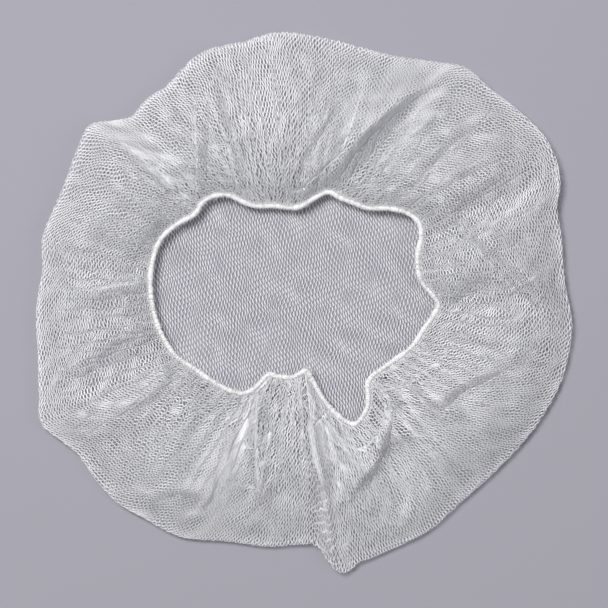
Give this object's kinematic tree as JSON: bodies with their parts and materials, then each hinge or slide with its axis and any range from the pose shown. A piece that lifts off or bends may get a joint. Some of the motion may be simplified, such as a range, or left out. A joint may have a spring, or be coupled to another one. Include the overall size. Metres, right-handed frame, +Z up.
{
  "type": "hairnet",
  "caption": "Disposable bouffant hairnet of open knitted net with a thin elastic edge, relaxed and lying crown down with its head opening facing up.",
  "frame": {"origin": "on the resting surface, under the middle of the bounding box", "axes": "+Z up, out of the head opening; +X to the right and +Y to the top of a view from above"},
  "size_m": [0.2942, 0.2966, 0.0309],
  "materials": {
    "net": "white knitted nylon net, open and slightly glossy",
    "elastic": "white overlocked elastic, matt and fuzzy"
  },
  "bodies": {
    "root": {"net_body": "net", "elastic_band": "elastic"}
  },
  "joints": []
}
